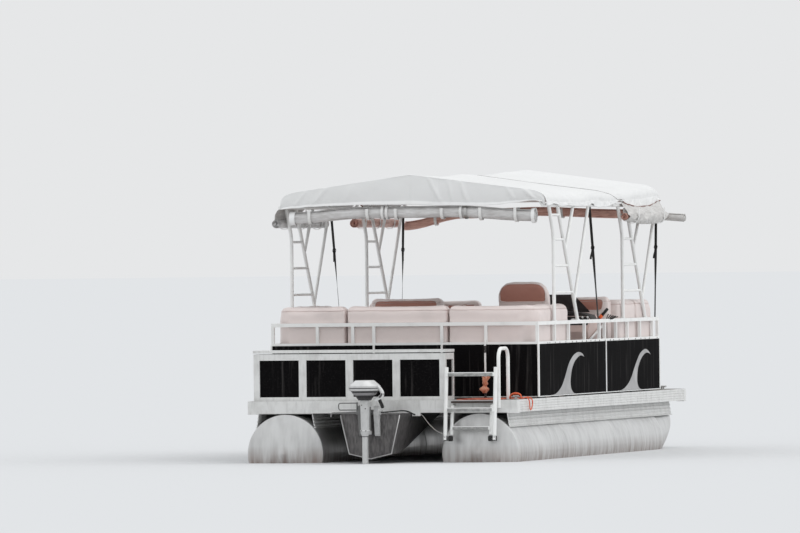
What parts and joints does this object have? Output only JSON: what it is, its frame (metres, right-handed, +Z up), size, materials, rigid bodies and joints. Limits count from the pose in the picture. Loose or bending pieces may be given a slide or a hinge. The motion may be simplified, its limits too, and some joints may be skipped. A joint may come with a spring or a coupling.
{
  "type": "pontoon boat",
  "caption": "Small pontoon boat: two round tubes, a fenced deck with seats and helm, a framed cloth canopy, a stern locker, a folding ladder and an outboard on a pod.",
  "frame": {"origin": "on the centreline, amidships of the 6.10 m deck, at the waterline", "axes": "+Y to the bow, +X to starboard, +Z up"},
  "size_m": [2.7713, 6.83, 3.06],
  "materials": {
    "hull_aluminium": "mill finish, brushed by wear",
    "painted_frame": "satin off-white powder coat",
    "dark_sheet": "semi-gloss near-black",
    "deck_carpet": "worn short-pile marine carpet",
    "red_mat": "faded red ribbed mat",
    "canopy_cloth": "white coated canopy cloth",
    "curtain_cloth": "rolled vinyl-coated cloth",
    "webbing": "white webbing",
    "black_webbing": "black webbing",
    "vinyl": "pinkish beige marine vinyl",
    "moulded_base": "rotomoulded seat base",
    "console_plastic": "gelcoat",
    "smoked_screen": "smoked acrylic, seen dark",
    "pod_paint": "dark grey paint with bare edges",
    "motor_paint": "silver-grey enamel",
    "motor_dark": "dark grey moulded pan",
    "black_rubber": "black rubber",
    "stainless": "brushed stainless",
    "propeller_alloy": "black painted alloy",
    "tread_grey": "dark non-slip tread",
    "rope_orange": "orange braided rope",
    "rope_white": "thin white line"
  },
  "bodies": {
    "hull": {"black_stays": "black_webbing", "bow_canopy": "canopy_cloth", "bow_curtain": "curtain_cloth", "bow_masts": "painted_frame", "chair_pedestal": "stainless", "cleats": "stainless", "corner_caps": "painted_frame", "cross_members": "hull_aluminium", "curtain_straps": "webbing", "deck_edges": "painted_frame", "deck_floor": "deck_carpet", "deck_mat": "red_mat", "end_fences": "painted_frame", "fence_feet": "black_rubber", "fence_sheets": "dark_sheet", "handrail": "painted_frame", "helm_console": "console_plastic", "ladder_fixed": "painted_frame", "ladder_hinges": "black_rubber", "ladder_tread": "tread_grey", "locker_frame": "painted_frame", "locker_sheets": "dark_sheet", "motor_cable": "black_rubber", "motor_clamp": "motor_paint", "motor_pod": "pod_paint", "pontoons": "hull_aluminium", "risers": "painted_frame", "roof_frames": "painted_frame", "rope_bight": "rope_orange", "rope_hank": "rope_orange", "seat_backs": "vinyl", "seat_bases": "moulded_base", "seat_cushions": "vinyl", "side_curtains": "curtain_cloth", "side_fences": "painted_frame", "stern_canopy": "canopy_cloth", "stern_curtain": "curtain_cloth", "stern_masts": "painted_frame", "thin_line": "rope_white", "windscreen": "smoked_screen"},
    "bow_gate": {"bow_gate_frame": "painted_frame", "bow_gate_sheet": "dark_sheet"},
    "port_gate": {"port_gate_frame": "painted_frame", "port_gate_sheet": "dark_sheet"},
    "locker_lid": {"locker_lid": "painted_frame"},
    "helm_chair": {"helm_chair": "vinyl"},
    "steering_wheel": {"steering_wheel": "black_rubber"},
    "folding_ladder": {"ladder_folding": "painted_frame"},
    "motor_bracket": {"motor_swivel": "motor_paint"},
    "outboard": {"motor_leg": "motor_paint", "gearcase": "motor_paint", "motor_cowl": "motor_paint", "cowl_pan": "motor_dark"},
    "propeller": {"propeller": "propeller_alloy"}
  },
  "joints": [
    {"name": "bow_gate_swing", "type": "hinge", "parent": "hull", "child": "bow_gate", "pos_m": [-0.34, 2.021, 0.84], "axis": [0, 0, -1], "range_deg": [0, 95]},
    {"name": "port_gate_swing", "type": "hinge", "parent": "hull", "child": "port_gate", "pos_m": [-1.182, -0.685, 0.84], "axis": [0, 0, -1], "range_deg": [0, 95]},
    {"name": "locker_lid_lift", "type": "hinge", "parent": "hull", "child": "locker_lid", "pos_m": [0, -2.73, 0.954], "axis": [-1, 0, 0], "range_deg": [0, 85]},
    {"name": "chair_swivel", "type": "hinge", "parent": "hull", "child": "helm_chair", "pos_m": [0.75, -0.65, 0.92], "axis": [0, 0, 1], "continuous": true},
    {"name": "wheel_turn", "type": "hinge", "parent": "hull", "child": "steering_wheel", "pos_m": [0.75, -0.152, 1.2], "axis": [0, 0.9063, -0.4226], "range_deg": [-540, 540]},
    {"name": "ladder_fold", "type": "hinge", "parent": "hull", "child": "folding_ladder", "pos_m": [0.828, -3.185, 0.205], "axis": [1, 0, 0], "range_deg": [0, 165]},
    {"name": "motor_tilt", "type": "hinge", "parent": "hull", "child": "motor_bracket", "pos_m": [0, -3.465, 0.445], "axis": [-1, 0, 0], "range_deg": [0, 68]},
    {"name": "motor_steer", "type": "hinge", "parent": "motor_bracket", "child": "outboard", "pos_m": [0, -3.505, 0.39], "axis": [0, 0, 1], "range_deg": [-35, 35]},
    {"name": "propeller_spin", "type": "hinge", "parent": "outboard", "child": "propeller", "pos_m": [0, -3.718, -0.32], "axis": [0, 1, 0], "continuous": true}
  ],
  "couplings": [
    {"joint": "wheel_turn", "follows": "motor_steer", "ratio": 15}
  ]
}
